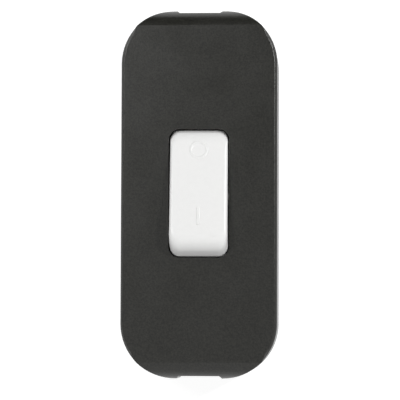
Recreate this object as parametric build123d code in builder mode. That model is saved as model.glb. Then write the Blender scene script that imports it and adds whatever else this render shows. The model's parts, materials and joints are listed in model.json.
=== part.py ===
from build123d import *
import os
from math import asin, atan2, cos, degrees, radians, sin, sqrt, tan

# An in-line switch for a flexible cord, lying on its base with the rocker up.
# X runs across the body, Y along the cord and Z up from the resting face, in millimetres.
# The rocker stands in its off position: the O end, at +Y, is pressed in.

# Housing of two shells
body_length = 66.2
body_width = 28.0
body_height = 15.5
corner_radius = 9.8
parting_height = 7.2
wall = 1.8
floor_thickness = 1.8
roof_thickness = 1.8
edge_bevel = 0.45
base_bevel = 1.0
seam_bevel = 0.3

# The cover's ends roll off, with a faint crease where the roll starts
roll_length = 2.95
roll_drop = 2.95
roll_start_slope = 10.0

# Tongue along each side of the cover, in its rebate of the case
tongue_length = 40.0
tongue_height = 1.0
tongue_thickness = 0.8
tongue_clearance = 0.05

# Cord entries, in a shallow recess at each end
cord_hole_radius = 3.3
entry_width = 7.3
entry_depth = 0.45

# Rocker, with heights taken from its pivot while it stands level
pivot_depth = 3.5
half_throw = 10.0
rocker_width = 10.4
rocker_end_radius = 11.72
rocker_rise = 5.3
rocker_edge_radius = 2.0
rocker_corner_bevel = 1.3
rocker_side_bevel = 0.5
rocker_wall = 1.2
rocker_roof = 1.6
skirt_drop = 1.0
opening_side_gap = 0.2
opening_end_gap = 0.3
opening_corner = 2.0

# Rocker bearings: stub axles in open slots of two cheeks under the cover
axle_radius = 1.5
axle_lug_radius = 2.3
bearing_clearance = 0.05
cheek_thickness = 2.1
cheek_length = 8.0
cheek_drop = 2.5
axle_end_gap = 0.2

# Sprung plunger in a square guide of the rocker, with one nose for each pole
pole_offset = 3.0
guide_wall = 1.2
guide_web = 1.2
stem_width = 2.4
stem_length = 3.0
stem_clearance = 0.05
plunger_gap = 0.06
plunger_travel = 0.6
nose_radius = 0.85
nose_length = 1.4
nose_width = 1.7
crossbar_height = 1.2
spigot_width = 1.0
spigot_length = 0.8
spring_turns = 3
spring_radius = 0.95
wire_radius = 0.2
seat_gap = 0.02

# Tilting contact beam of each pole: a flat middle and two wings bent up
beam_width = 3.2
beam_length = 17.2
beam_thickness = 0.6
beam_flat = 6.0
beam_half_throw = 8.0
land_radius = 0.4
land_clearance = 0.03
prong_width = 0.5
prong_height = 0.5
prong_clearance = 0.1

# Contact buttons
contact_reach = 7.0
contact_radius = 1.2
contact_thickness = 0.5
contact_closed_gap = 0.05

# Terminals: a strip on the floor, and a pillar whose screw clamps the wire in a square tunnel
strip_thickness = 0.8
strip_end_margin = 2.0
pillar_offset = 4.7
pillar_width = 4.6
pillar_length = 5.0
pillar_start = 14.0
pillar_height = 6.8
tunnel_clearance = 0.1
tunnel_height = 2.8
tunnel_rise = 1.8
terminal_screw_radius = 1.45
terminal_screw_length = 3.4
terminal_screw_lift = 0.8
terminal_screw_clearance = 0.05

# Case details that hold the terminals
peg_width = 1.6
peg_clearance = 0.05
peg_rise = 0.5
stop_gap = 0.05
seat_peg_reach = 11.4
pocket_rib = 1.0
pocket_rise = 2.4
pocket_clearance = 0.1
barrier_thickness = 1.0
barrier_rise = 3.6

# Cord clamps: an arched bar over a saddle rib, hooked at one side and screwed at the other
clamp_inset = 8.0
clamp_post_offset = 6.6
clamp_post_width = 4.6
clamp_post_height = 8.4
clamp_bore = 3.0
clamp_bar = 1.4
clamp_ear = 1.8
clamp_bar_width = 4.0
hook_wall = 1.2
hook_lip = 1.4
hook_clearance = 0.05
saddle_thickness = 2.0
saddle_height = 5.4

# Clamp screws and cover screws
clamp_screw_radius = 1.3
clamp_screw_length = 6.5
clamp_head_radius = 2.1
clamp_head_height = 1.4
cover_screw_x = 9.6
cover_screw_y = 10.4
cover_screw_radius = 1.3
cover_screw_length = 8.0
cover_head_radius = 2.4
cover_head_height = 1.6
case_boss_width = 6.8
cover_boss_width = 5.6
counterbore_depth = 3.0
head_clearance = 0.3
shank_clearance = 0.25
pilot_clearance = 0.05
pilot_extra = 0.5

# Places that follow from the sizes above
roof_underside = body_height - roof_thickness
pivot_height = body_height - pivot_depth
opening_half = rocker_width / 2 + opening_side_gap
tongue_bottom = parting_height - tongue_height
tongue_offset = body_width / 2 - wall + tongue_thickness / 2
strip_top = floor_thickness + strip_thickness
fixed_contact_face = strip_top + contact_thickness
clamp_y = body_length / 2 - clamp_inset
pillar_y = pillar_start + pillar_length / 2
pillar_top = floor_thickness + pillar_height
tunnel_floor = floor_thickness + tunnel_rise
tunnel_width = 2 * (terminal_screw_radius + tunnel_clearance)
counterbore_radius = cover_head_radius + head_clearance
cover_screw_tip = counterbore_depth + cover_screw_length

# The beam turns about the middle of the land under it. Its wings are bent by as much as it
# turns, so a wing that is down lies level, on the fixed contact or on the stop peg
beam_sin = sin(radians(beam_half_throw))
beam_cos = cos(radians(beam_half_throw))
beam_under = land_radius + land_clearance
beam_top = beam_under + beam_thickness
level_wing_rise = beam_under * beam_cos - beam_flat / 2 * beam_sin
beam_axis_height = fixed_contact_face + contact_closed_gap + contact_thickness - level_wing_rise
level_contact_y = beam_flat / 2 * beam_cos + beam_under * beam_sin + contact_reach - beam_flat / 2
stop_peg_top = beam_axis_height + level_wing_rise - stop_gap

# The plunger stands as far in as it goes while the rocker passes level
plunger_reach = pivot_height - beam_axis_height - beam_top - plunger_gap
crossbar_bottom = nose_length - plunger_reach
crossbar_top = crossbar_bottom + crossbar_height
guide_bottom = crossbar_top + plunger_travel
guide_half = stem_width / 2 + stem_clearance
stem_top = crossbar_top + stem_length
rocker_ceiling = rocker_rise - rocker_roof
spring_space = rocker_ceiling - stem_top

# The rocker's end faces are round about the pivot, so the gap at the ends of the opening stays
# the same over the whole throw. A rounded edge joins each end face to the flat top
edge_z = rocker_rise - rocker_edge_radius
edge_y = sqrt((rocker_end_radius - rocker_edge_radius)**2 - edge_z**2)
end_face_top = degrees(atan2(edge_z, edge_y))
end_face_bottom = -degrees(asin(skirt_drop / rocker_end_radius))
opening_top_length = 2 * (sqrt(rocker_end_radius**2 - pivot_depth**2) + opening_end_gap)
opening_drop = roof_underside - pivot_height
opening_bottom_length = 2 * (sqrt(rocker_end_radius**2 - opening_drop**2) + opening_end_gap)
hollow_length = 2 * (edge_y + rocker_edge_radius - rocker_wall)

# Planes of the tilted pieces: the rocker turned down at +Y, the beams turned up at +Y
rocker_up = (0, sin(radians(half_throw)), cos(radians(half_throw)))
rocker_plane = Plane((0, 0, pivot_height), x_dir=(1, 0, 0), z_dir=rocker_up)
rocker_side = Plane(rocker_plane.origin, x_dir=rocker_plane.y_dir, z_dir=rocker_plane.x_dir)
beam_plane = Plane((0, 0, beam_axis_height), x_dir=(1, 0, 0), z_dir=(0, -beam_sin, beam_cos))
beam_side = Plane(beam_plane.origin, x_dir=beam_plane.y_dir, z_dir=beam_plane.x_dir)

sides = {"left": -1, "right": 1}
ends = {"front": -1, "rear": 1}
cover_screw_places = [(side * cover_screw_x, side * cover_screw_y) for side in sides.values()]
clamp_screw_places = [(end * clamp_post_offset, end * clamp_y) for end in ends.values()]

os.makedirs("parts", exist_ok=True)


def plan(inset):
    """Width, length and corner radius of the housing's outline, moved in by inset."""
    return body_width - 2 * inset, body_length - 2 * inset, corner_radius - inset


# Recess at the cord entries, through both shells
with BuildPart() as entry_recess:
    with BuildSketch():
        for end in ends.values():
            outer_y = end * (body_length / 2 + entry_depth)
            inner_y = end * (body_length / 2 - entry_depth)
            mouth = entry_width / 2 + 2 * entry_depth
            with BuildLine():
                Polyline(
                    (-mouth, outer_y), (mouth, outer_y),
                    (entry_width / 2, inner_y), (-entry_width / 2, inner_y),
                    close=True,
                )
            make_face()
    extrude(amount=body_height)

# Cord passage through both end walls
with BuildPart() as cord_passage:
    with BuildSketch(Plane.XZ):
        with Locations((0, parting_height)):
            Circle(cord_hole_radius)
    extrude(amount=body_length / 2, both=True)

# Form of the rocker's opening: flat sides, and ends that follow the rocker's swing
with BuildPart() as rocker_opening:
    with BuildSketch(Plane.XY.offset(roof_underside)):
        RectangleRounded(2 * opening_half, opening_bottom_length, opening_corner)
    with BuildSketch(Plane.XY.offset(body_height)):
        RectangleRounded(2 * opening_half, opening_top_length, opening_corner)
    loft(ruled=True)

# Top cover
with BuildPart() as top_cover:
    with BuildSketch(Plane.XY.offset(parting_height)):
        RectangleRounded(*plan(0))
    extrude(amount=body_height - parting_height)
    chamfer(top_cover.faces().sort_by(Axis.Z)[-1].edges(), edge_bevel)
    chamfer(top_cover.faces().sort_by(Axis.Z)[0].edges(), seam_bevel)
    # Rolled ends: what lies under this long section stays
    with BuildSketch(Plane.YZ):
        with BuildLine():
            half = body_length / 2
            fall = sin(radians(roll_start_slope))
            run = cos(radians(roll_start_slope))
            crease = half - roll_length
            roll_end = body_height - roll_drop
            Line((-crease, body_height), (crease, body_height))
            TangentArc((crease, body_height), (half, roll_end), tangent=(run, -fall))
            Polyline((half, roll_end), (half, parting_height),
                     (-half, parting_height), (-half, roll_end))
            TangentArc((-crease, body_height), (-half, roll_end), tangent=(-run, -fall))
        make_face()
    extrude(amount=body_width / 2, both=True, mode=Mode.INTERSECT)
    with BuildSketch(Plane.XY.offset(parting_height)):
        RectangleRounded(*plan(wall))
    extrude(amount=roof_underside - parting_height, mode=Mode.SUBTRACT)
    # Tongues and screw bosses
    with BuildSketch(Plane.XY.offset(parting_height)):
        with GridLocations(2 * tongue_offset, 0, 2, 1):
            Rectangle(tongue_thickness, tongue_length)
    extrude(amount=-tongue_height)
    with BuildSketch(Plane.XY.offset(tongue_bottom)):
        with Locations(*cover_screw_places):
            Rectangle(cover_boss_width, cover_boss_width)
    extrude(amount=roof_underside - tongue_bottom)
    with BuildSketch(Plane.XY.offset(tongue_bottom)):
        with Locations(*cover_screw_places):
            Circle(cover_screw_radius + pilot_clearance)
    extrude(amount=cover_screw_tip + pilot_extra - tongue_bottom, mode=Mode.SUBTRACT)
    # Cheeks with a slot for each stub axle, open below
    for side in sides.values():
        with BuildSketch(Plane.YZ.offset(side * opening_half)):
            with Locations((0, pivot_height - cheek_drop)):
                Rectangle(cheek_length, cheek_drop + roof_underside - pivot_height,
                          align=(Align.CENTER, Align.MIN))
            with Locations((0, pivot_height)):
                Circle(axle_radius + bearing_clearance, mode=Mode.SUBTRACT)
                Rectangle(2 * (axle_radius + bearing_clearance), cheek_drop,
                          align=(Align.CENTER, Align.MAX), mode=Mode.SUBTRACT)
        extrude(amount=side * cheek_thickness)
    add(rocker_opening.part, mode=Mode.SUBTRACT)
    add(entry_recess.part, mode=Mode.SUBTRACT)
    add(cord_passage.part, mode=Mode.SUBTRACT)

top_cover.part.label = "top_cover"
export_step(top_cover.part, "parts/top_cover.step")

# Bottom case
with BuildPart() as bottom_case:
    with BuildSketch():
        RectangleRounded(*plan(0))
    extrude(amount=parting_height)
    chamfer(bottom_case.faces().sort_by(Axis.Z)[0].edges(), base_bevel)
    with BuildSketch(Plane.XY.offset(floor_thickness)):
        RectangleRounded(*plan(wall))
    extrude(amount=parting_height - floor_thickness, mode=Mode.SUBTRACT)
    # Rebates for the cover's tongues
    with BuildSketch(Plane.XY.offset(parting_height)):
        with GridLocations(2 * tongue_offset, 0, 2, 1):
            Rectangle(tongue_thickness + 2 * tongue_clearance, tongue_length + 2 * tongue_clearance)
    extrude(amount=-tongue_height - tongue_clearance, mode=Mode.SUBTRACT)
    # Screw bosses, counterbored from below
    with BuildSketch(Plane.XY.offset(floor_thickness)):
        with Locations(*cover_screw_places):
            Rectangle(case_boss_width, case_boss_width)
    extrude(amount=tongue_bottom - tongue_clearance - floor_thickness)
    with BuildSketch():
        with Locations(*cover_screw_places):
            Circle(counterbore_radius)
    extrude(amount=counterbore_depth, mode=Mode.SUBTRACT)
    with BuildSketch():
        with Locations(*cover_screw_places):
            Circle(cover_screw_radius + shank_clearance)
    extrude(amount=tongue_bottom, mode=Mode.SUBTRACT)
    # Saddle rib, screw post and hook post of each cord clamp
    for end in ends.values():
        hook_inner = clamp_post_offset - clamp_post_width / 2
        hook_outer = clamp_post_offset + clamp_post_width / 2
        lip_bottom = clamp_post_height + clamp_ear + hook_clearance
        with BuildSketch(Plane.XZ.offset(-end * clamp_y)):
            with Locations((0, floor_thickness)):
                Rectangle(2 * clamp_post_offset, saddle_height - floor_thickness,
                          align=(Align.CENTER, Align.MIN))
            with Locations((0, parting_height)):
                Circle(clamp_bore, mode=Mode.SUBTRACT)
        extrude(amount=saddle_thickness / 2, both=True)
        with BuildSketch(Plane.XZ.offset(-end * clamp_y)):
            with Locations((end * clamp_post_offset, floor_thickness)):
                Rectangle(clamp_post_width, clamp_post_height - floor_thickness,
                          align=(Align.CENTER, Align.MIN))
            with BuildLine():
                Polyline(
                    (-end * hook_inner, floor_thickness),
                    (-end * hook_inner, clamp_post_height),
                    (-end * hook_outer, clamp_post_height),
                    (-end * hook_outer, lip_bottom),
                    (-end * (hook_outer - hook_lip), lip_bottom),
                    (-end * (hook_outer - hook_lip), lip_bottom + hook_wall),
                    (-end * (hook_outer + hook_wall), lip_bottom + hook_wall),
                    (-end * (hook_outer + hook_wall), floor_thickness),
                    close=True,
                )
            make_face()
        extrude(amount=clamp_post_width / 2, both=True)
    with BuildSketch(Plane.XY.offset(clamp_post_height)):
        with Locations(*clamp_screw_places):
            Circle(clamp_screw_radius + pilot_clearance)
    extrude(amount=clamp_ear - clamp_screw_length - pilot_extra, mode=Mode.SUBTRACT)
    # Barrier between the poles
    with BuildSketch(Plane.XY.offset(floor_thickness)):
        Rectangle(barrier_thickness, 2 * (pillar_start + pillar_length))
    extrude(amount=barrier_rise)
    # Pockets that hold the pillars, open towards the strips
    with BuildSketch(Plane.XY.offset(floor_thickness)):
        with GridLocations(2 * pillar_offset, 2 * pillar_y, 2, 2):
            Rectangle(pillar_width + 2 * (pocket_clearance + pocket_rib),
                      pillar_length + 2 * (pocket_clearance + pocket_rib))
            Rectangle(pillar_width + 2 * pocket_clearance, pillar_length + 2 * pocket_clearance,
                      mode=Mode.SUBTRACT)
        with GridLocations(2 * pole_offset, 0, 2, 1):
            Rectangle(beam_width + 2 * pocket_clearance, 2 * pillar_y, mode=Mode.SUBTRACT)
    extrude(amount=pocket_rise)
    # Pegs through the strips: a stop for each beam, and a seat for each contact strip
    with BuildSketch(Plane.XY.offset(floor_thickness)):
        with Locations((-pole_offset, -contact_reach), (pole_offset, -contact_reach)):
            Rectangle(peg_width, peg_width)
    extrude(amount=stop_peg_top - floor_thickness)
    with BuildSketch(Plane.XY.offset(floor_thickness)):
        with Locations((-pole_offset, seat_peg_reach), (pole_offset, seat_peg_reach)):
            Rectangle(peg_width, peg_width)
    extrude(amount=strip_thickness + peg_rise)
    add(entry_recess.part, mode=Mode.SUBTRACT)
    add(cord_passage.part, mode=Mode.SUBTRACT)

bottom_case.part.label = "bottom_case"
export_step(bottom_case.part, "parts/bottom_case.step")

# Form of the rocker's corners: a drum about the pivot with bevelled rims
with BuildPart() as rocker_drum:
    with BuildSketch(rocker_side):
        Circle(rocker_end_radius)
    extrude(amount=rocker_width / 2, both=True)
    drum_faces = rocker_drum.faces().sort_by(Axis.X)
    chamfer(drum_faces[0].edges() + drum_faces[-1].edges(), rocker_corner_bevel)

# Rocker
with BuildPart() as rocker:
    # Long section: flat top, rounded edges and end faces, with its side edges bevelled
    with BuildSketch(rocker_side):
        with BuildLine():
            end_face = CenterArc((0, 0), rocker_end_radius, end_face_bottom,
                                 end_face_top - end_face_bottom)
            TangentArc((edge_y, rocker_rise), end_face @ 1, tangent=(1, 0))
            Polyline((edge_y, rocker_rise), (0, rocker_rise), (0, -skirt_drop), end_face @ 0)
        make_face()
        mirror(about=Plane.YZ)
    extrude(amount=rocker_width / 2, both=True)
    rocker_axis = Axis(rocker_plane.origin, rocker_plane.z_dir)
    side_faces = rocker.faces().sort_by(Axis.X)
    side_edges = side_faces[0].edges() + side_faces[-1].edges()
    chamfer(side_edges.sort_by(rocker_axis)[2:], rocker_side_bevel)
    add(rocker_drum.part, mode=Mode.INTERSECT)
    # Hollow underside, with the plunger's guide and its cross web
    with BuildSketch(rocker_plane.offset(-skirt_drop)):
        Rectangle(rocker_width - 2 * rocker_wall, hollow_length)
    extrude(amount=skirt_drop + rocker_ceiling, mode=Mode.SUBTRACT)
    with BuildSketch(rocker_plane.offset(guide_bottom)):
        Rectangle(2 * (guide_half + guide_wall), 2 * (guide_half + guide_wall))
    extrude(amount=rocker_ceiling - guide_bottom)
    with BuildSketch(rocker_plane.offset(-axle_lug_radius)):
        Rectangle(rocker_width - rocker_wall, guide_web)
    extrude(amount=rocker_ceiling + axle_lug_radius)
    # Stub axles on their lugs
    for side in sides.values():
        with BuildSketch(rocker_side.offset(side * rocker_width / 2)):
            Circle(axle_lug_radius)
        extrude(amount=-side * rocker_wall)
        with BuildSketch(rocker_side.offset(side * rocker_width / 2)):
            Circle(axle_radius)
        extrude(amount=side * (opening_side_gap + cheek_thickness - axle_end_gap))
    with BuildSketch(rocker_plane.offset(guide_bottom)):
        Rectangle(2 * guide_half, 2 * guide_half)
    extrude(amount=rocker_ceiling - guide_bottom, mode=Mode.SUBTRACT)

rocker.part.label = "rocker"
export_step(rocker.part, "parts/rocker.step")

# Plunger
with BuildPart() as plunger:
    nose_centre = nose_radius - plunger_reach
    with BuildSketch(rocker_side):
        with Locations((0, nose_centre)):
            Circle(nose_radius)
            Rectangle(2 * nose_radius, crossbar_top - nose_centre, align=(Align.CENTER, Align.MIN))
    extrude(amount=pole_offset + nose_width / 2, both=True)
    with BuildSketch(rocker_side):
        with Locations((0, crossbar_bottom)):
            Rectangle(2 * nose_radius, nose_length, align=(Align.CENTER, Align.MAX))
    extrude(amount=pole_offset - nose_width / 2, both=True, mode=Mode.SUBTRACT)
    with BuildSketch(rocker_plane.offset(crossbar_bottom)):
        Rectangle(stem_width, stem_width)
    extrude(amount=crossbar_height + stem_length)
    with BuildSketch(rocker_plane.offset(stem_top)):
        Rectangle(spigot_width, spigot_width)
    extrude(amount=spigot_length)

plunger.part.label = "plunger"
export_step(plunger.part, "parts/plunger.step")

# Plunger spring, its wire drawn with four flats
with BuildPart() as plunger_spring:
    coil_height = spring_space - 2 * (wire_radius + seat_gap)
    coil_start = rocker_plane.from_local_coords((0, 0, stem_top + wire_radius + seat_gap))
    with BuildLine() as coil:
        Helix(coil_height / spring_turns, coil_height, spring_radius,
              center=coil_start, direction=rocker_plane.z_dir)
    with BuildSketch(Plane(coil.line @ 0, z_dir=coil.line % 0)):
        RegularPolygon(wire_radius, 4)
    sweep(is_frenet=True)

plunger_spring.part.label = "plunger_spring"
export_step(plunger_spring.part, "parts/plunger_spring.step")

# Contact beams and their buttons
for name, side in sides.items():
    pole_side = beam_side.offset(side * pole_offset)
    wing_plane = Plane(pole_side.from_local_coords((beam_flat / 2, beam_under, 0)),
                       x_dir=(1, 0, 0),
                       z_dir=beam_plane.z_dir.rotate(Axis.X, beam_half_throw))
    with BuildPart() as seesaw:
        with BuildSketch(pole_side):
            with BuildLine():
                wing_run = beam_length / 2 - beam_flat / 2
                wing_rise = wing_run * beam_sin / beam_cos
                top_bend = beam_flat / 2 - beam_thickness * tan(radians(beam_half_throw / 2))
                tip_back = beam_length / 2 - beam_thickness * beam_sin
                tip_top = beam_under + wing_rise + beam_thickness * beam_cos
                Polyline(
                    (-beam_flat / 2, beam_under), (beam_flat / 2, beam_under),
                    (beam_length / 2, beam_under + wing_rise), (tip_back, tip_top),
                    (top_bend, beam_top), (-top_bend, beam_top),
                    (-tip_back, tip_top), (-beam_length / 2, beam_under + wing_rise),
                    close=True,
                )
            make_face()
        extrude(amount=beam_width / 2, both=True)
        # Side notches for the prongs of the fork
        with BuildSketch(beam_plane.offset(beam_under)):
            with Locations((side * pole_offset, 0)):
                notch_half = land_radius / beam_cos + beam_top * beam_sin + prong_clearance
                with GridLocations(beam_width, 0, 2, 1):
                    Rectangle(2 * (prong_width + prong_clearance), 2 * notch_half)
        extrude(amount=beam_thickness, mode=Mode.SUBTRACT)
    seesaw.part.label = f"seesaw_{name}"
    export_step(seesaw.part, f"parts/seesaw_{name}.step")

    with BuildPart() as moving_contact:
        with BuildSketch(wing_plane):
            with Locations((0, contact_reach - beam_flat / 2)):
                Circle(contact_radius)
        extrude(amount=-contact_thickness)
    moving_contact.part.label = f"moving_contact_{name}"
    export_step(moving_contact.part, f"parts/moving_contact_{name}.step")

    with BuildPart() as fixed_contact:
        with BuildSketch(Plane.XY.offset(strip_top)):
            with Locations((side * pole_offset, level_contact_y)):
                Circle(contact_radius)
        extrude(amount=contact_thickness)
    fixed_contact.part.label = f"fixed_contact_{name}"
    export_step(fixed_contact.part, f"parts/fixed_contact_{name}.step")

# Terminals
for name, side in sides.items():
    pole_x = side * pole_offset
    pillar_x = side * pillar_offset
    for kind, end in (("pivot", -1), ("contact", 1)):
        with BuildPart() as terminal:
            with BuildSketch(Plane.XY.offset(floor_thickness)):
                with Locations((pillar_x, end * pillar_y)):
                    Rectangle(pillar_width, pillar_length)
            extrude(amount=pillar_height)
            strip_tip = land_radius if kind == "pivot" else strip_end_margin - level_contact_y
            with BuildSketch(Plane.XY.offset(floor_thickness)):
                with Locations((pole_x, end * (pillar_y - strip_tip) / 2)):
                    Rectangle(beam_width, pillar_y + strip_tip)
            extrude(amount=strip_thickness)
            if kind == "pivot":
                # Upright fork: a rounded land under the beam, between two prongs
                with BuildSketch(Plane.YZ.offset(pole_x)):
                    with Locations((0, floor_thickness)):
                        Rectangle(2 * land_radius, beam_axis_height - floor_thickness,
                                  align=(Align.CENTER, Align.MIN))
                    with Locations((0, beam_axis_height)):
                        Circle(land_radius)
                extrude(amount=beam_width / 2, both=True)
                with BuildSketch(Plane.XY.offset(floor_thickness)):
                    with Locations((pole_x, 0)):
                        with GridLocations(beam_width - prong_width, 0, 2, 1):
                            Rectangle(prong_width, 2 * land_radius)
                extrude(amount=beam_axis_height + beam_top + prong_height - floor_thickness)
            peg_y = -contact_reach if kind == "pivot" else seat_peg_reach
            with BuildSketch(Plane.XY.offset(floor_thickness)):
                with Locations((pole_x, peg_y)):
                    Rectangle(peg_width + 2 * peg_clearance, peg_width + 2 * peg_clearance)
            extrude(amount=strip_thickness, mode=Mode.SUBTRACT)
            with BuildSketch(Plane.XZ.offset(-end * pillar_y)):
                with Locations((pillar_x, tunnel_floor)):
                    Rectangle(tunnel_width, tunnel_height, align=(Align.CENTER, Align.MIN))
            extrude(amount=pillar_length, both=True, mode=Mode.SUBTRACT)
            with BuildSketch(Plane.XY.offset(pillar_top)):
                with Locations((pillar_x, end * pillar_y)):
                    Circle(terminal_screw_radius + terminal_screw_clearance)
            extrude(amount=tunnel_floor + tunnel_height - pillar_top, mode=Mode.SUBTRACT)
        terminal.part.label = f"{kind}_terminal_{name}"
        export_step(terminal.part, f"parts/{kind}_terminal_{name}.step")

# Clamping screws of the four terminals, without heads
with BuildPart() as terminal_screws:
    with BuildSketch(Plane.XY.offset(pillar_top + terminal_screw_lift)):
        with GridLocations(2 * pillar_offset, 2 * pillar_y, 2, 2):
            Circle(terminal_screw_radius)
    extrude(amount=-terminal_screw_length)

terminal_screws.part.label = "terminal_screws"
export_step(terminal_screws.part, "parts/terminal_screws.step")

# Cord clamp bars, hooked at one side and screwed at the other
for name, end in ends.items():
    with BuildPart() as cord_clamp:
        with BuildSketch(Plane.XZ.offset(-end * clamp_y)):
            with Locations((0, clamp_post_height)):
                Rectangle(2 * clamp_post_offset + clamp_post_width - 2 * hook_clearance, clamp_ear,
                          align=(Align.CENTER, Align.MIN))
            with Locations((0, parting_height)):
                Circle(clamp_bore + clamp_bar)
                Circle(clamp_bore, mode=Mode.SUBTRACT)
            with Locations((0, clamp_post_height)):
                Rectangle(body_width, clamp_bore + clamp_bar,
                          align=(Align.CENTER, Align.MIN), mode=Mode.INTERSECT)
        extrude(amount=clamp_bar_width / 2, both=True)
        with BuildSketch(Plane.XY.offset(clamp_post_height)):
            with Locations((end * clamp_post_offset, end * clamp_y)):
                Circle(clamp_screw_radius + shank_clearance)
        extrude(amount=clamp_ear, mode=Mode.SUBTRACT)
    cord_clamp.part.label = f"cord_clamp_{name}"
    export_step(cord_clamp.part, f"parts/cord_clamp_{name}.step")

# Screws of the clamps, heads up
with BuildPart() as clamp_screws:
    with BuildSketch(Plane.XY.offset(clamp_post_height + clamp_ear)):
        with Locations(*clamp_screw_places):
            Circle(clamp_screw_radius)
    extrude(amount=-clamp_screw_length)
    with BuildSketch(Plane.XY.offset(clamp_post_height + clamp_ear)):
        with Locations(*clamp_screw_places):
            Circle(clamp_head_radius)
    extrude(amount=clamp_head_height)

clamp_screws.part.label = "clamp_screws"
export_step(clamp_screws.part, "parts/clamp_screws.step")

# Screws of the cover, heads down in the counterbores
with BuildPart() as cover_screws:
    with BuildSketch(Plane.XY.offset(counterbore_depth)):
        with Locations(*cover_screw_places):
            Circle(cover_screw_radius)
    extrude(amount=cover_screw_length)
    with BuildSketch(Plane.XY.offset(counterbore_depth)):
        with Locations(*cover_screw_places):
            Circle(cover_head_radius)
    extrude(amount=-cover_head_height)

cover_screws.part.label = "cover_screws"
export_step(cover_screws.part, "parts/cover_screws.step")
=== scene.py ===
# %% [markdown]
# # An in-line cord switch
# A flat black switch that sits in the cord of a lamp: two moulded shells, a white rocker on
# top and a small tilting-contact mechanism inside. The solid model already has every part in
# its place, so this lesson loads it as a fixed frame. The pieces that the eye meets are then
# modelled again with fine edges, and every surface gets the finish of its real material.

# %% Load the frame
import json
from math import asin, atan2, cos, pi, radians, sin, sqrt

import bmesh
import bpy
from mathutils import Matrix, Vector


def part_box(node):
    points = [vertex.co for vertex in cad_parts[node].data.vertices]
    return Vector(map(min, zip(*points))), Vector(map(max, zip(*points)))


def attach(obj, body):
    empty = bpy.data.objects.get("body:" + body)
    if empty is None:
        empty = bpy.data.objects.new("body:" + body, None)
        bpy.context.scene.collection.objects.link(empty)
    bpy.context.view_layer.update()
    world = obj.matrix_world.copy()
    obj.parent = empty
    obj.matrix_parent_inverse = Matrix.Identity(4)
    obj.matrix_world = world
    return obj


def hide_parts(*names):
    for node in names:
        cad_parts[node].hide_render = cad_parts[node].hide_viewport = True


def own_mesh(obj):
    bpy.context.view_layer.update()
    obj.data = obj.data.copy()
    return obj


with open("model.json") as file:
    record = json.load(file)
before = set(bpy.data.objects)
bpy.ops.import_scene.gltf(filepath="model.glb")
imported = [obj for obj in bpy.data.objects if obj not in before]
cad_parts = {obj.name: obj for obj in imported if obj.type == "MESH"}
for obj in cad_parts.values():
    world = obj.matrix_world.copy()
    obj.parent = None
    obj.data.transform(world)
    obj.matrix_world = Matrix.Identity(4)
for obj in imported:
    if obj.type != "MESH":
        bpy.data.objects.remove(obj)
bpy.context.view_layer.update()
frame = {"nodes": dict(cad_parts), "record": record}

nodes = frame["nodes"]

# %% [markdown]
# ## Sizes
# Blender works in metres, and a switch is measured in millimetres, so every size is written
# as millimetres times `MM`. What the solid model can say about itself is read from its boxes.
# The rest repeats the few sizes that the new pieces share with it.

# %% Sizes of the housing
MM = 0.001
cover_low, cover_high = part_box("top_cover")
body_width = cover_high.x - cover_low.x
body_length = cover_high.y - cover_low.y
body_top = cover_high.z
corner_radius = 9.8 * MM
seam_height = 7.2 * MM
wall = 1.8 * MM
roof_thickness = 1.8 * MM
roof_under = body_top - roof_thickness
floor_top = 1.8 * MM
entry_half = 3.65 * MM
entry_depth = 0.45 * MM
cord_radius = 3.3 * MM
pivot_height = 12.0 * MM
end_radius = 11.72 * MM
sides = (-1, 1)
print(f"housing {body_width / MM:.1f} x {body_length / MM:.1f} x {body_top / MM:.1f} mm")

# %% [markdown]
# ## Camera
# The photograph looks almost straight down on the cover, from a little to the right of the
# switch and a little below it, so the right wall shows as a thin line and the end walls do
# not. A long lens keeps the long sides nearly parallel. The camera comes first, because every
# later choice is judged through it.

# %% Camera
eye = Vector((22.3, -24.0, 435.0)) * MM
aim = Vector((0.21, -1.22, 15.5)) * MM
frame_height = 71.45 * MM
lean = radians(0.19)
sensor = 36.0

camera = bpy.data.cameras.new("photo_camera")
camera.sensor_width = camera.sensor_height = sensor
camera.lens = sensor * (eye - aim).length / frame_height
camera.clip_start = 0.01
camera.clip_end = 10.0
camera_object = bpy.data.objects.new("photo_camera", camera)
back = (eye - aim).normalized()
right = Vector((0.0, 1.0, 0.0)).cross(back).normalized()
turn = Matrix((right, back.cross(right), back)).transposed().to_4x4()
camera_object.matrix_world = Matrix.Translation(eye) @ turn @ Matrix.Rotation(lean, 4, "Z")
bpy.context.scene.collection.objects.link(camera_object)
bpy.context.scene.camera = camera_object
print(f"lens {camera.lens:.0f} mm, {(eye - aim).length / MM:.0f} mm away")

# %% [markdown]
# ## Colours and nodes
# Colours are written as sRGB hex values, the numbers that a colour picker shows. Shaders count
# in linear light, so one function converts them. Another adds a node to a material, with its
# settings and its links, which keeps each recipe readable as a short list.

# %% Helpers for materials
def linear(shade):
    """An sRGB hex value as linear red, green, blue and alpha."""
    parts = [int(shade[i:i + 2], 16) / 255 for i in (1, 3, 5)]
    return [p / 12.92 if p <= 0.04045 else ((p + 0.055) / 1.055) ** 2.4 for p in parts] + [1.0]


def add_node(tree, kind, settings, links):
    """A node of a kind, with values set by socket or by property name, and its links."""
    node = tree.nodes.new(kind)
    for name, value in settings.items():
        if isinstance(name, int) or name in node.inputs:
            node.inputs[name].default_value = value
        else:
            setattr(node, name, value)
    for name, source in links.items():
        tree.links.new(source, node.inputs[name])
    return node


def start_material(name):
    """An empty node material, its tree and the Object coordinates of its piece."""
    material = bpy.data.materials.new(name)
    material.use_nodes = True
    material.node_tree.nodes.clear()
    place = add_node(material.node_tree, "ShaderNodeTexCoord", {}, {})
    return material, material.node_tree, place.outputs["Object"]


def end_material(tree, shader):
    """Links the last shader to the output."""
    add_node(tree, "ShaderNodeOutputMaterial", {}, {"Surface": shader.outputs[0]})


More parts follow.
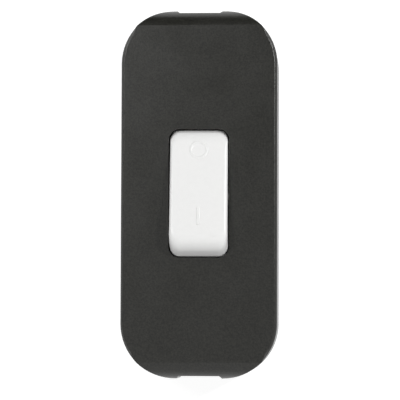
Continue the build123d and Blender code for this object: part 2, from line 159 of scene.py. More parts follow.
# %% [markdown]
# ## Moulded plastics
# Four parts are moulded plastic, and they differ in colour, gloss and the texture that the
# mould leaves. A cloudy noise shifts the gloss a little, as flow in the mould does. A fine noise
# gives the texture: it speckles the colour and drives a bump. One recipe with six values covers
# all four, so a change in how plastic looks is made in one place.

# %% Recipe for plastics
flow_size = 7.0 * MM
# The IOR of polycarbonate. The other plastics lie close below it.
plastic_ior = 1.58
# Most values of a noise lie between these two, so what it drives is spread over this range.
noise_low, noise_high = 0.3, 0.7


def moulded_plastic(name, dark, light, gloss_side, matt_side, grain, relief):
    """A plastic between two shades and two roughnesses, with mould grain of a given size."""
    material, tree, place = start_material(name)
    cloud = add_node(tree, "ShaderNodeTexNoise",
                     {"Scale": 1 / flow_size, "Detail": 3.0}, {"Vector": place})
    pits = add_node(tree, "ShaderNodeTexNoise",
                    {"Scale": 1 / grain, "Detail": 2.0, "Roughness": 0.6}, {"Vector": place})
    speck = add_node(tree, "ShaderNodeMapRange", {"From Min": noise_low, "From Max": noise_high},
                     {"Value": pits.outputs["Fac"]})
    shade = add_node(tree, "ShaderNodeMix",
                     {"data_type": "RGBA", 6: linear(dark), 7: linear(light)},
                     {0: speck.outputs["Result"]})
    rough = add_node(tree, "ShaderNodeMapRange",
                     {"From Min": noise_low, "From Max": noise_high,
                      "To Min": gloss_side, "To Max": matt_side},
                     {"Value": cloud.outputs["Fac"]})
    bump = add_node(tree, "ShaderNodeBump", {"Strength": 1.0, "Distance": relief},
                    {"Height": pits.outputs["Fac"]})
    shader = add_node(tree, "ShaderNodeBsdfPrincipled", {"IOR": plastic_ior},
                      {"Base Color": shade.outputs[2], "Roughness": rough.outputs["Result"],
                       "Normal": bump.outputs["Normal"]})
    end_material(tree, shader)
    return material


# %% Moulded plastics
# Black polycarbonate blend from a spark-eroded mould: a satin black that scatters highlights.
# The real texture is about 0.05 mm, too fine for the render, so it is drawn at 0.3 mm.
textured_black = moulded_plastic("spark_textured_black_polycarbonate", "#0b0b07", "#272722",
                                 0.3, 0.36, 0.3 * MM, 0.017 * MM)
# White urea from a polished mould: clean, dense and faintly glossy.
polished_white = moulded_plastic("polished_white_urea", "#ececeb", "#eeeeed",
                                 0.3, 0.35, 0.8 * MM, 0.002 * MM)
# Natural acetal: milky and slippery, for the plunger.
natural_acetal = moulded_plastic("natural_moulded_acetal", "#dcdad2", "#e4e2db",
                                 0.34, 0.42, 0.5 * MM, 0.004 * MM)
# Black nylon: plain and slightly greasy, for the cord clamps.
plain_nylon = moulded_plastic("plain_black_nylon", "#1a1a1a", "#222222",
                              0.42, 0.5, 0.4 * MM, 0.006 * MM)
print("plastics: 4")

# %% [markdown]
# ## Metals
# The metals inside are bare or plated, and each keeps the marks of how it was made: drawn wire,
# stamped strip, sawn bar or a plating bath. A noise stretched along one axis gives the drawn or
# rolled lines, and a cloudy noise the tarnish. Metals keep the default IOR, because a metal's
# colour already says how it reflects.

# %% Recipe for metals
line_stretch = 0.08
line_depth = 0.01 * MM
tarnish_size = 2.5 * MM


def worked_metal(name, bright, tarnished, smooth, rough, line):
    """A metal with rolled or drawn lines along Y and a little tarnish."""
    material, tree, place = start_material(name)
    stretch = add_node(tree, "ShaderNodeMapping", {"Scale": (1.0, line_stretch, 1.0)},
                       {"Vector": place})
    lines = add_node(tree, "ShaderNodeTexNoise", {"Scale": 1 / line, "Detail": 3.0},
                     {"Vector": stretch.outputs["Vector"]})
    tarnish = add_node(tree, "ShaderNodeTexNoise", {"Scale": 1 / tarnish_size, "Detail": 4.0},
                       {"Vector": place})
    shade = add_node(tree, "ShaderNodeMix",
                     {"data_type": "RGBA", 6: linear(bright), 7: linear(tarnished)},
                     {0: tarnish.outputs["Fac"]})
    gloss = add_node(tree, "ShaderNodeMapRange",
                     {"From Min": noise_low, "From Max": noise_high,
                      "To Min": smooth, "To Max": rough},
                     {"Value": lines.outputs["Fac"]})
    bump = add_node(tree, "ShaderNodeBump", {"Strength": 0.6, "Distance": line_depth},
                    {"Height": lines.outputs["Fac"]})
    shader = add_node(tree, "ShaderNodeBsdfPrincipled", {"Metallic": 1.0},
                      {"Base Color": shade.outputs[2], "Roughness": gloss.outputs["Result"],
                       "Normal": bump.outputs["Normal"]})
    end_material(tree, shader)
    return material


# %% Metals
# Drawn spring wire: bright grey with a fine die line.
spring_wire = worked_metal("bright_drawn_spring_steel", "#b9babc", "#9a9b9e",
                           0.22, 0.34, 0.1 * MM)
# Stamped bronze strip: reddish gold with rolling marks.
bronze_strip = worked_metal("stamped_phosphor_bronze", "#c9935f", "#a97545",
                            0.26, 0.4, 0.15 * MM)
# Silver alloy buttons: pale and soft.
silver_alloy = worked_metal("pressed_silver_alloy", "#e4e2dc", "#cfccc3",
                            0.2, 0.32, 0.12 * MM)
# Sawn brass bar and strip: yellow with saw lines.
brass_bar = worked_metal("sawn_terminal_brass", "#d8b568", "#b8924a",
                         0.28, 0.44, 0.2 * MM)
# Zinc-plated steel: blue grey and a little cloudy.
zinc_plate = worked_metal("zinc_plated_steel", "#c3c7ca", "#a4a9ad",
                          0.25, 0.38, 0.25 * MM)
print("metals: 5")

# %% [markdown]
# ## Tools for the pieces
# Every moulding starts as a flat outline with rounded corners. Bevelling the four corner points
# of a rectangle gives true arcs, and the housing's outline also has the shallow recess at each
# cord entry. Loops are then pulled up or down, and flat rings are filled between two loops.

# %% Outlines, walls and rings
tiny = 0.001 * MM


def outline(bm, width, length, radius, height, segments=16, recess=False):
    """Edges of a rounded outline at a height, with the entry recesses if asked."""
    x, y = width / 2, length / 2
    row = [(x, y), (-x, y)]
    if recess:
        mouth, throat, depth = entry_half + entry_depth, entry_half, entry_depth
        row[1:1] = [(mouth, y), (throat, y - depth), (-throat, y - depth), (-mouth, y)]
    verts = [bm.verts.new((end * px, end * py, height)) for end in (1, -1) for px, py in row]
    others = set(bm.faces)
    bmesh.ops.contextual_create(bm, geom=verts)
    corners = [v for v in verts if abs(abs(v.co.x) - x) < tiny]
    bmesh.ops.bevel(bm, geom=corners, offset=radius, offset_type="OFFSET", segments=segments,
                    profile=0.5, affect="VERTICES", material=-1)
    face = next(f for f in bm.faces if f not in others)
    edges = list(face.edges)
    bmesh.ops.delete(bm, geom=[face], context="FACES_ONLY")
    return edges


def flat_ring(bm, edges):
    """Fills the flat surface inside one loop, or between two."""
    made = bmesh.ops.triangle_fill(bm, edges=edges, use_beauty=True)["geom"]
    added = [g for g in made if isinstance(g, bmesh.types.BMEdge) and g not in set(edges)]
    bmesh.ops.dissolve_limit(bm, angle_limit=radians(1), edges=added, verts=[])


def pull(bm, edges, height, stretch=(1.0, 1.0)):
    """Extrudes a loop to a height, stretched across and along; gives the new loop."""
    made = bmesh.ops.extrude_edge_only(bm, edges=edges)["geom"]
    verts = {g for g in made if isinstance(g, bmesh.types.BMVert)}
    for v in verts:
        v.co = v.co.x * stretch[0], v.co.y * stretch[1], height
    return [g for g in made if isinstance(g, bmesh.types.BMEdge) and set(g.verts) <= verts]


def soften(bm, edges, offset, segments, clamp=True):
    """Rounds edges; clamped, the rounding gets no wider than the shortest edge allows."""
    bmesh.ops.bevel(bm, geom=edges, offset=offset, offset_type="OFFSET", segments=segments,
                    profile=0.5, affect="EDGES", material=-1, clamp_overlap=clamp)


def steps(start, end, count):
    """Evenly spaced angles after the first one, up to the last."""
    return [start + (end - start) * step / count for step in range(1, count + 1)]


# %% [markdown]
# Inside the shells there are plain blocks and round pins, and holes are cut at the end with a
# Boolean. Joining the blocks first and cutting once, with self-intersection allowed, also fuses
# everything into one closed skin, as a moulding is.

# %% Blocks, pins and cuts
def block(bm, low, high):
    """A box between two corners."""
    low, high = Vector(low), Vector(high)
    size = Matrix.Diagonal(high - low).to_4x4()
    bmesh.ops.create_cube(bm, size=1.0, matrix=Matrix.Translation((low + high) / 2) @ size)


def pin(bm, start, end, radius, segments=32):
    """A round bar between two points."""
    start, end = Vector(start), Vector(end)
    lie = (end - start).to_track_quat("Z", "Y").to_matrix().to_4x4()
    bmesh.ops.create_cone(bm, cap_ends=True, segments=segments, radius1=radius, radius2=radius,
                          depth=(end - start).length,
                          matrix=Matrix.Translation((start + end) / 2) @ lie)


def to_object(name, bm):
    """A new object from a bmesh, linked to the scene."""
    mesh = bpy.data.meshes.new(name)
    bm.to_mesh(mesh)
    bm.free()
    thing = bpy.data.objects.new(name, mesh)
    bpy.context.scene.collection.objects.link(thing)
    return thing


def cut(name, bm, cutter):
    """A new object: the fused form of one bmesh, less another."""
    piece, tool = to_object(name, bm), to_object(name + "_tool", cutter)
    boolean = piece.modifiers.new("cut", "BOOLEAN")
    boolean.operation, boolean.solver, boolean.use_self = "DIFFERENCE", "EXACT", True
    boolean.object = tool
    bpy.context.view_layer.update()
    ready = piece.evaluated_get(bpy.context.evaluated_depsgraph_get())
    mesh = bpy.data.meshes.new_from_object(ready)
    piece.modifiers.clear()
    piece.data = mesh
    bpy.data.objects.remove(tool)
    return piece


# %% [markdown]
# Each finished piece gets the same last touch. Faces that meet at a small angle are shaded as
# one smooth surface, sharper edges stay sharp, and weighted normals keep the large faces flat.
# The piece then gets its material, rides on a body of the frame and, where it is drawn in place
# of a solid, hides that solid.

# %% Last touch
sharp_angle = radians(35.0)


def dress(piece, material, body, slot, *replaced):
    """Shades a piece, gives it its finish and lets it ride on a body."""
    mesh = piece.data
    mesh.shade_smooth()
    mesh.set_sharp_from_angle(angle=sharp_angle)
    mesh.materials.clear()
    mesh.materials.append(material)
    flat = piece.modifiers.new("flat faces", "WEIGHTED_NORMAL")
    flat.keep_sharp = True
    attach(piece, body)
    if replaced:
        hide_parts(*replaced)
    print(piece.name, len(mesh.vertices), "vertices")


# %% [markdown]
# ## Top cover
# The cover is flat on top, with rounded corners, and rolls off at both ends after a faint
# crease. The opening for the rocker lies in its middle. The flat top is filled between the rim
# and the opening and gets a short collar. While all of it is still level, the long sides get a
# narrow chamfer, and the bends are softened. It is then cut across in narrow strips beyond the
# crease, and the strips are lowered on an arc. Collar and opening are pulled down into walls.

# %% Roll of the cover's ends
roll_length = 2.95 * MM
roll_start = radians(10.0)
roll_end = radians(80.0)
roll_steps = 12
crease = body_length / 2 - roll_length
roll_radius = roll_length / (sin(roll_end) - sin(roll_start))


def roll_fall(y):
    """How far the cover's top lies below its flat, at a place along the body."""
    run = max(abs(y) - crease, 0.0) + roll_radius * sin(roll_start)
    return roll_radius * cos(roll_start) - sqrt(roll_radius ** 2 - run ** 2)


print(f"the ends fall {roll_fall(body_length / 2) / MM:.2f} mm")

# %% Opening for the rocker
opening_half = 5.4 * MM
opening_corner = 2.0 * MM
opening_gap = 0.3 * MM


def opening_end(z):
    """Half length of the opening at a height, a gap outside the rocker's round end faces."""
    return sqrt(end_radius ** 2 - (z - pivot_height) ** 2) + opening_gap


opening_length = 2 * opening_end(body_top)
opening_flare = opening_end(roof_under) / opening_end(body_top)
print(f"opening {2 * opening_half / MM:.1f} x {opening_length / MM:.1f} mm")

# %% Flat top and collar
collar_height = 1.0 * MM
flank_chamfer = 0.48 * MM
rim_softness = 0.1 * MM
bend_angle = 0.5

cover = bmesh.new()
rim = outline(cover, body_width, body_length, corner_radius, body_top, recess=True)
opening = outline(cover, 2 * opening_half, opening_length, opening_corner, body_top, segments=10)
flat_ring(cover, rim + opening)
pull(cover, rim, body_top - collar_height)
flanks = [e for e in rim if all(abs(v.co.y) < crease for v in e.verts)]
soften(cover, flanks, flank_chamfer, 1, clamp=False)
# Only level edges: the upright ones beside the entry recess are too close to each other.
level_edges = [e for e in cover.edges if abs(e.verts[0].co.z - e.verts[1].co.z) < tiny]
bends = [e for e in level_edges if len(e.link_faces) == 2 and e.calc_face_angle() > bend_angle]
soften(cover, bends, rim_softness, 2, clamp=False)
print("flat top:", len(cover.faces), "faces")

# %% Rolled ends
merge_distance = 0.02 * MM

for end in sides:
    for step in range(roll_steps):
        slope = roll_start + (roll_end - roll_start) * step / roll_steps
        y = end * (crease + roll_radius * (sin(slope) - sin(roll_start)))
        bmesh.ops.bisect_plane(cover, geom=cover.verts[:] + cover.edges[:] + cover.faces[:],
                               dist=tiny, plane_co=(0, y, 0), plane_no=(0, 1, 0))
bmesh.ops.remove_doubles(cover, verts=cover.verts, dist=merge_distance)
for v in cover.verts:
    v.co.z -= roll_fall(v.co.y)
print("with strips:", len(cover.faces), "faces")

# %% Walls of the cover
opening_softness = 0.12 * MM
seam_softness = 0.3 * MM


def in_opening(v):
    """Whether a vertex lies on the edge of the opening."""
    return abs(v.co.x) < opening_half + tiny and abs(v.co.y) < opening_length / 2 + tiny


def inner_outline(bm):
    """The outline of the space inside a shell, at the seam."""
    return outline(bm, body_width - 2 * wall, body_length - 2 * wall, corner_radius - wall,
                   seam_height)


border = [e for e in cover.edges if e.is_boundary]
opening = [e for e in border if all(in_opening(v) for v in e.verts)]
collar = [e for e in border if e not in set(opening)]
seam = pull(cover, collar, seam_height)
opening_foot = pull(cover, opening, roof_under, (1.0, opening_flare))
cover_inner = inner_outline(cover)
flat_ring(cover, seam + cover_inner)
cover_ceiling = pull(cover, cover_inner, roof_under)
flat_ring(cover, cover_ceiling + opening_foot)
bmesh.ops.recalc_face_normals(cover, faces=cover.faces)
soften(cover, opening, opening_softness, 2)
soften(cover, [e for e in seam if e.is_valid], seam_softness, 2)
print("cover skin:", len(cover.faces), "faces")

# %% [markdown]
# Under the roof hang two cheeks with open slots for the rocker's axles, a boss for each cover
# screw, and a tongue along each side. They are never seen from outside, so plain blocks do, and
# the Boolean fuses them with the skin while it cuts the slots, the screw holes and the half of
# the cord passage that lies in the cover. Blocks reach a little into the skin, so that they fuse.

# %% Sizes inside the cover
root = 0.3 * MM
cheek_thickness, cheek_half, cheek_bottom = 2.1 * MM, 4.0 * MM, 9.5 * MM
slot_radius, slot_bottom = 1.55 * MM, 9.0 * MM
screw_x, screw_y = 9.6 * MM, 10.4 * MM
boss_half = 2.8 * MM
thread_radius = 1.35 * MM
cover_thread = (5.0 * MM, 11.5 * MM)
tongue_x = (12.2 * MM, 13.0 * MM)
tongue_half, tongue_bottom = 20.0 * MM, 6.2 * MM


def across(side, near, far):
    """Two places across the body on one side, the lower first."""
    return sorted((side * near, side * far))


# %% Cover, inside and cuts
tools = bmesh.new()
pin(tools, (0, -body_length, seam_height), (0, body_length, seam_height), cord_radius, 48)
for side in sides:
    near, far = across(side, opening_half, opening_half + cheek_thickness)
    block(cover, (near, -cheek_half, cheek_bottom), (far, cheek_half, roof_under + root))
    block(tools, (near - root, -slot_radius, slot_bottom),
          (far + root, slot_radius, pivot_height))
    pin(tools, (near - root, 0, pivot_height), (far + root, 0, pivot_height), slot_radius)
    x, y = side * screw_x, side * screw_y
    block(cover, (x - boss_half, y - boss_half, tongue_bottom),
          (x + boss_half, y + boss_half, roof_under + root))
    pin(tools, (x, y, cover_thread[0]), (x, y, cover_thread[1]), thread_radius)
    near, far = across(side, *tongue_x)
    block(cover, (near, -tongue_half, tongue_bottom), (far, tongue_half, seam_height + root))

top_shell = cut("top_cover_shell", cover, tools)
dress(top_shell, textured_black, "housing", "housing_plastic", "top_cover")
# The crease where the roll begins stays a line.
for edge in top_shell.data.edges:
    ends = [top_shell.data.vertices[i].co for i in edge.vertices]
    if all(abs(abs(p.y) - crease) < tiny and abs(p.z - body_top) < tiny for p in ends):
        edge.use_edge_sharp = True

# %% [markdown]
# ## Bottom case
# The lower shell has the same outline and a rounded foot, which is a stack of outlines that draw
# in step by step: a bevel would stop at the short edges beside the cord entry. Its inside is a
# landscape of posts, ribs and pockets that hold the terminals and the cord clamps. From below,
# the two counterbores with their screws are all that shows.

# %% Skin of the case
foot_radius = 1.0 * MM
foot_steps = 6

case = bmesh.new()
case_rim = outline(case, body_width, body_length, corner_radius, seam_height, recess=True)
case_foot, inset = pull(case, case_rim, foot_radius), 0.0
for angle in steps(0.0, pi / 2, foot_steps):
    half_width, half_length = body_width / 2 - inset, body_length / 2 - inset
    inset = foot_radius * (1 - cos(angle))
    stretch = (body_width / 2 - inset) / half_width, (body_length / 2 - inset) / half_length
    case_foot = pull(case, case_foot, foot_radius * (1 - sin(angle)), stretch)
flat_ring(case, case_foot)
case_inner = inner_outline(case)
flat_ring(case, case_rim + case_inner)
floor_loop = pull(case, case_inner, floor_top)
flat_ring(case, floor_loop)
bmesh.ops.recalc_face_normals(case, faces=case.faces)
print("case skin:", len(case.faces), "faces")

# %% Sizes inside the case
sunk = floor_top - root
cord_hole_start = 29.0 * MM
case_boss_half, case_boss_top = 3.4 * MM, 6.15 * MM
counterbore, counterbore_radius = (-1.0 * MM, 3.0 * MM), 2.7 * MM
screw_hole, screw_hole_radius = (2.0 * MM, 7.0 * MM), 1.55 * MM
groove_play, groove_top = 0.05 * MM, 8.0 * MM
clamp_y = body_length / 2 - 8.0 * MM
post_x, post_half, post_top = 6.6 * MM, 2.3 * MM, 8.4 * MM
post_side = post_x + post_half
post_thread = (3.2 * MM, 9.0 * MM)
rib_half, rib_top = 1.0 * MM, 5.4 * MM
saddle_half, saddle_radius = 1.5 * MM, 3.0 * MM
hook_wall, hook_under, hook_top = 1.2 * MM, 10.25 * MM, 11.45 * MM
hook_reach, hook_root = 1.4 * MM, 0.5 * MM
partition_half, partition_length = 0.5 * MM, 19.0 * MM
strip_post_x, strip_post_half = 3.0 * MM, 0.8 * MM
strip_posts = ((-7.0 * MM, 3.572 * MM), (11.4 * MM, 3.1 * MM))

# %% Case, inside and cuts
tools = bmesh.new()
for start, end in ((-body_length, -cord_hole_start), (cord_hole_start, body_length)):
    pin(tools, (0, start, seam_height), (0, end, seam_height), cord_radius, 48)
for side in sides:
    # Boss and hole of one cover screw, and the groove for one tongue
    x, y, half = side * screw_x, side * screw_y, case_boss_half
    block(case, (x - half, y - half, sunk), (x + half, y + half, case_boss_top))
    pin(tools, (x, y, counterbore[0]), (x, y, counterbore[1]), counterbore_radius, 48)
    pin(tools, (x, y, screw_hole[0]), (x, y, screw_hole[1]), screw_hole_radius)
    near, far = across(side, tongue_x[0] - groove_play, tongue_x[1] + groove_play)
    block(tools, (near, -tongue_half - groove_play, tongue_bottom - groove_play),
          (far, tongue_half + groove_play, groove_top))
    # Saddle rib, screw post and hook post of one cord clamp
    x, y, half = side * post_x, side * clamp_y, post_half
    block(case, (-post_x, y - rib_half, sunk), (post_x, y + rib_half, rib_top))
    pin(tools, (0, y - saddle_half, seam_height), (0, y + saddle_half, seam_height),
        saddle_radius)
    block(case, (x - half, y - half, sunk), (x + half, y + half, post_top))
    pin(tools, (x, y, post_thread[0]), (x, y, post_thread[1]), thread_radius)
    near, far = across(-side, post_x - half, post_side + hook_wall)
    block(case, (near, y - half, sunk), (far, y + half, post_top))
    near, far = across(-side, post_side, post_side + hook_wall)
    block(case, (near, y - half, post_top - root), (far, y + half, hook_top))
    near, far = across(-side, post_side - hook_reach, post_side + hook_root)
    block(case, (near, y - half, hook_under), (far, y + half, hook_top))

# Partition between the poles, and the posts under the terminal strips
block(case, (-partition_half, -partition_length, sunk),
      (partition_half, partition_length, rib_top))
for side in sides:
    for y, top in strip_posts:
        x, half = side * strip_post_x, strip_post_half
        block(case, (x - half, y - half, sunk), (x + half, y + half, top))

bottom_shell = cut("bottom_case_shell", case, tools)
dress(bottom_shell, textured_black, "housing", "housing_plastic", "bottom_case")

# %% [markdown]
# ## Rocker
# The white rocker is a hollow cap. Its end faces are round about the pivot, so the gap to the
# cover stays the same while it turns, and a rounded edge leads from them to the flat top. It
# grows as a stack of outlines, each pulled up from the one below and brought to the width and
# length of its height. It is modelled level, about its own pivot, and turned at the very end
# into its off position, so every size stays a plain number.

# %% Sizes of the rocker
tilt = radians(-10.0)
rocker_width = 10.4 * MM
rocker_corner = 1.8 * MM
cap_wall = 1.2 * MM
hollow_corner = 0.4 * MM
# The end edges are rounder than the solid's, so that they shade evenly. The flat top is a
# little higher in return, and the raised end reaches the same height as the solid.
skirt, rise, ceiling_height = -1.0 * MM, 5.418 * MM, 3.7 * MM
edge_radius = 3.0 * MM
side_radius = 0.6 * MM
side_draft = 0.008
edge_z = rise - edge_radius
edge_y = sqrt((end_radius - edge_radius) ** 2 - edge_z ** 2)
edge_turn = atan2(edge_z, edge_y)
shoulder = rise - side_radius


def cap_half_sizes(z):
    """Half width and half length of the rocker at a height."""
    x = rocker_width / 2 - side_draft * (z - skirt)
    x -= side_radius - sqrt(side_radius ** 2 - max(z - shoulder, 0.0) ** 2)
    if z < end_radius * sin(edge_turn):
        return x, sqrt(end_radius ** 2 - z ** 2)
    return x, edge_y + sqrt(edge_radius ** 2 - (z - edge_z) ** 2)


# %% Skin of the rocker
heights = [end_radius * sin(a) for a in steps(asin(skirt / end_radius), edge_turn, 8)]
side_turn = asin((shoulder - edge_z) / edge_radius)
heights += [edge_z + edge_radius * sin(a) for a in steps(edge_turn, side_turn, 6)]
heights += [shoulder + side_radius * sin(a) for a in steps(0.0, pi / 2, 10)]

cap = bmesh.new()
half_width, half_length = cap_half_sizes(skirt)
cap_foot = outline(cap, 2 * half_width, 2 * half_length, rocker_corner, skirt, segments=12)
loop = cap_foot
for z in heights:
    x, y = cap_half_sizes(z)
    loop = pull(cap, loop, z, (x / half_width, y / half_length))
    half_width, half_length = x, y
flat_ring(cap, loop)
cap_inner = outline(cap, rocker_width - 2 * cap_wall, 2 * (edge_y + edge_radius - cap_wall),
                    hollow_corner, skirt, segments=2)
flat_ring(cap, cap_foot + cap_inner)
cap_ceiling = pull(cap, cap_inner, ceiling_height)
flat_ring(cap, cap_ceiling)
bmesh.ops.recalc_face_normals(cap, faces=cap.faces)
print("rocker skin:", len(cap.faces), "faces")

# %% [markdown]
# Inside the cap a square guide holds the plunger and its spring, a web stiffens it, and a hub
# with a stub axle sits on each side. The guide's bore is cut out, and the cap is turned.

# %% Rocker, inside and turn
guide_half, guide_foot = 2.45 * MM, -4.07 * MM
bore_half, bore_foot = 1.25 * MM, -5.0 * MM
web_half, web_thin, web_foot = 4.6 * MM, 0.6 * MM, -2.3 * MM
hub, hub_radius = (4.0 * MM, 5.19 * MM), 2.3 * MM
axle, axle_radius = (4.5 * MM, 7.3 * MM), 1.5 * MM

tools = bmesh.new()
block(cap, (-guide_half, -guide_half, guide_foot),
      (guide_half, guide_half, ceiling_height + root))
block(cap, (-web_half, -web_thin, web_foot), (web_half, web_thin, ceiling_height + root))
block(tools, (-bore_half, -bore_half, bore_foot), (bore_half, bore_half, ceiling_height))
for side in sides:
    pin(cap, (side * hub[0], 0, 0), (side * hub[1], 0, 0), hub_radius)
    pin(cap, (side * axle[0], 0, 0), (side * axle[1], 0, 0), axle_radius)
rocker_cap = cut("rocker_cap", cap, tools)
set_off = Matrix.Translation((0, 0, pivot_height)) @ Matrix.Rotation(tilt, 4, "X")
rocker_cap.data.transform(set_off)
dress(rocker_cap, polished_white, "rocker", "rocker_plastic", "rocker")

# %% [markdown]
# ## Marks on the rocker
# Off and on are marked with a raised ring and a raised bar, white on white, so only their edges
# catch the light. The ring is a small flattened profile spun once round, and the bar a rounded
# outline pulled up.

# %% Ring and bar
mark_rise = 0.08 * MM
ring_y, ring_radius, ring_width = 6.9 * MM, 1.45 * MM, 0.5 * MM
bar_y, bar_length, bar_width = -5.2 * MM, 3.4 * MM, 0.6 * MM
bar_corner, bar_softness = 0.45 * bar_width, 0.1 * MM

ring = bmesh.new()
bmesh.ops.create_circle(ring, segments=12, radius=ring_width / 2,
                        matrix=Matrix.Translation((ring_radius, 0, 0))
                        @ Matrix.Rotation(pi / 2, 4, "X"))
bmesh.ops.spin(ring, geom=ring.edges[:], cent=(0, 0, 0), axis=(0, 0, 1), angle=2 * pi, steps=48,
               use_merge=True)
bmesh.ops.remove_doubles(ring, verts=ring.verts, dist=tiny)
bmesh.ops.recalc_face_normals(ring, faces=ring.faces)
bmesh.ops.scale(ring, verts=ring.verts, vec=(1, 1, 2 * mark_rise / ring_width))
bmesh.ops.translate(ring, verts=ring.verts, vec=(0, ring_y, rise))

bar = bmesh.new()
bar_foot = outline(bar, bar_width, bar_length, bar_corner, rise - mark_rise, segments=4)
flat_ring(bar, bar_foot)
bar_top = pull(bar, bar_foot, rise + mark_rise)
flat_ring(bar, bar_top)
bmesh.ops.recalc_face_normals(bar, faces=bar.faces)
soften(bar, bar_top, bar_softness, 3)
bmesh.ops.translate(bar, verts=bar.verts, vec=(0, bar_y, 0))

for name, mark in (("off_ring", ring), ("on_bar", bar)):
    piece = to_object(name, mark)
    piece.data.transform(set_off)
    dress(piece, polished_white, "rocker", "rocker_plastic")

# %% [markdown]
# ## Plunger spring
# The spring behind the plunger is drawn wire, wound on a mandrel. The solid model draws the wire
# with flats. Here a round profile is spun in small steps that also climb, which gives a helix.
# The rocker's ceiling holds its upper end.

# %% Plunger spring
wire_radius, coil_radius, coil_turns = 0.2 * MM, 0.95 * MM, 3
coil_foot, coil_head = -1.448 * MM, 3.48 * MM
turn_steps = 32
climbs = turn_steps * coil_turns

coil = bmesh.new()
bmesh.ops.create_circle(coil, segments=10, radius=wire_radius,
                        matrix=Matrix.Translation((coil_radius, 0, coil_foot))
                        @ Matrix.Rotation(pi / 2, 4, "X"))
bmesh.ops.spin(coil, geom=coil.edges[:], cent=(0, 0, 0), axis=(0, 0, 1),
               angle=2 * pi * coil_turns, steps=climbs,
               dvec=(0, 0, (coil_head - coil_foot) / climbs))
bmesh.ops.holes_fill(coil, edges=[e for e in coil.edges if e.is_boundary])
bmesh.ops.recalc_face_normals(coil, faces=coil.faces)
plunger_coil = to_object("plunger_coil", coil)
plunger_coil.data.transform(set_off)
dress(plunger_coil, spring_wire, "rocker", "spring_steel", "plunger_spring")

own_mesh(plunger_coil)

# %% [markdown]
# ## Cover screws
# Two pan-head screws hold the shells together from below. Each is a round head with a softened
# rim and a plain shank, joined by the Boolean that also cuts the cross recess.

# %% Cover screws
head_low, head_high, head_radius = 1.4 * MM, 3.0 * MM, 2.4 * MM
head_softness = 0.5 * MM
shank_top, shank_radius = 11.0 * MM, 1.3 * MM
cross_long, cross_thin, cross_depth = 1.25 * MM, 0.3 * MM, 0.9 * MM

screws, tools = bmesh.new(), bmesh.new()
for side in sides:
    x, y = side * screw_x, side * screw_y
    before = set(screws.edges)
    pin(screws, (x, y, head_low), (x, y, head_high), head_radius, 48)
    head_rim = [e for e in screws.edges if e not in before
                and all(abs(v.co.z - head_low) < tiny for v in e.verts)]
    soften(screws, head_rim, head_softness, 4)
    pin(screws, (x, y, head_high - root), (x, y, shank_top), shank_radius)
    for reach, depth in ((cross_long, cross_thin), (cross_thin, cross_long)):
        block(tools, (x - reach, y - depth, 0), (x + reach, y + depth, head_low + cross_depth))
cover_screws = cut("cover_screws_cross", screws, tools)
dress(cover_screws, zinc_plate, "housing", "zinc_steel", "cover_screws")

# %% [markdown]
# ## Finishes of the inner parts
# The parts of the mechanism already have their right shapes in the solid model, so they only
# need their metals and plastics, by the record's slots.

# %% Inner finishes
finishes = {
    "plunger_plastic": natural_acetal,
    "spring_steel": spring_wire,
    "contact_bronze": bronze_strip,
    "contact_silver": silver_alloy,
    "terminal_brass": brass_bar,
    "zinc_steel": zinc_plate,
    "clamp_plastic": plain_nylon,
    "housing_plastic": textured_black,
    "rocker_plastic": polished_white,
}
for part in frame["record"]["subparts"]:
    mesh = nodes[part["node"]].data
    mesh.materials.clear()
    mesh.materials.append(finishes[part["material_slot"]])

# %% [markdown]
# ## Floor and light
# The switch lies on a white table. For the camera and for reflections the table glows a little,
# so it stays white right up to the object, but part of it is still a plain matt surface that
# takes the object's shadow. The room is bright in front and dim behind, which shades the ends of
# the cover. One card close by lifts the cover's far left corner and a faint one overhead its near
# half. Two low lamps light the rocker from the sides, and a compact one draws the thin line on
# the right rim.

# %% Floor
table_size = 3.0
table_top = -0.02 * MM
table_glow = 0.8

floor_mesh = bpy.data.meshes.new("table")
table = bmesh.new()
bmesh.ops.create_grid(table, x_segments=1, y_segments=1, size=table_size,
                      matrix=Matrix.Translation((0, 0, table_top)))
table.to_mesh(floor_mesh)
table.free()
floor = bpy.data.objects.new("table", floor_mesh)
bpy.context.scene.collection.objects.link(floor)

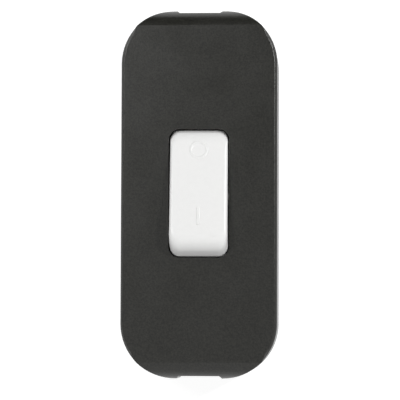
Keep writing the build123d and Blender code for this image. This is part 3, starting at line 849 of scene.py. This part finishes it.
white_table = bpy.data.materials.new("white_table_laminate")
white_table.use_nodes = True
tree = white_table.node_tree
tree.nodes.clear()
path = add_node(tree, "ShaderNodeLightPath", {}, {})
seen = add_node(tree, "ShaderNodeMath", {"operation": "MAXIMUM"},
                {0: path.outputs["Is Camera Ray"], 1: path.outputs["Is Glossy Ray"]})
seen = add_node(tree, "ShaderNodeMath", {"operation": "MAXIMUM"},
                {0: seen.outputs[0], 1: path.outputs["Is Transmission Ray"]})
glow = add_node(tree, "ShaderNodeMath", {"operation": "MULTIPLY", 1: table_glow},
                {0: seen.outputs[0]})
matt = add_node(tree, "ShaderNodeBsdfDiffuse", {"Color": linear("#b8b8b8")}, {})
light = add_node(tree, "ShaderNodeEmission", {}, {"Strength": glow.outputs[0]})
both = add_node(tree, "ShaderNodeAddShader", {}, {0: matt.outputs[0], 1: light.outputs[0]})
end_material(tree, both)
floor.data.materials.append(white_table)

# %% Room
backwards = (0.0, 0.9, -0.3)
fade_start, fade_end = -0.65, -0.15
front_light, back_light = 0.8, 0.1

world = bpy.data.worlds.new("room_with_a_bright_front")
world.use_nodes = True
tree = world.node_tree
way = add_node(tree, "ShaderNodeTexCoord", {}, {})
along = add_node(tree, "ShaderNodeVectorMath", {"operation": "DOT_PRODUCT", 1: backwards},
                 {0: way.outputs["Generated"]})
fade = add_node(tree, "ShaderNodeMapRange",
                {"From Min": fade_start, "From Max": fade_end,
                 "To Min": front_light, "To Max": back_light},
                {"Value": along.outputs["Value"]})
tree.links.new(fade.outputs["Result"], tree.nodes["Background"].inputs["Strength"])
tree.nodes["Background"].inputs["Color"].default_value = (1.0, 1.0, 1.0, 1.0)
bpy.context.scene.world = world

# %% Lamps
def softbox(name, place, size, power):
    """A soft square lamp at a place, facing the switch."""
    lamp = bpy.data.lights.new(name, "AREA")
    lamp.size = size
    lamp.energy = power
    stand = bpy.data.objects.new(name, lamp)
    stand.matrix_world = (Matrix.Translation(place)
                          @ Vector(place).to_track_quat("Z", "Y").to_matrix().to_4x4())
    bpy.context.scene.collection.objects.link(stand)


softbox("near_card", (-0.13, 0.09, 0.3), 0.06, 0.22)
softbox("overhead_card", (-0.03, -0.1, 0.6), 0.2, 0.04)
softbox("left_lamp", (-0.9, 0.5, 0.4), 0.3, 2.7)
softbox("right_lamp", (0.85, 0.5, 0.4), 0.15, 2.7)
softbox("rim_lamp", (0.25, 0.11, 0.3), 0.04, 0.65)

bpy.context.scene.view_settings.view_transform = "Standard"
print("floor, world and five lamps")
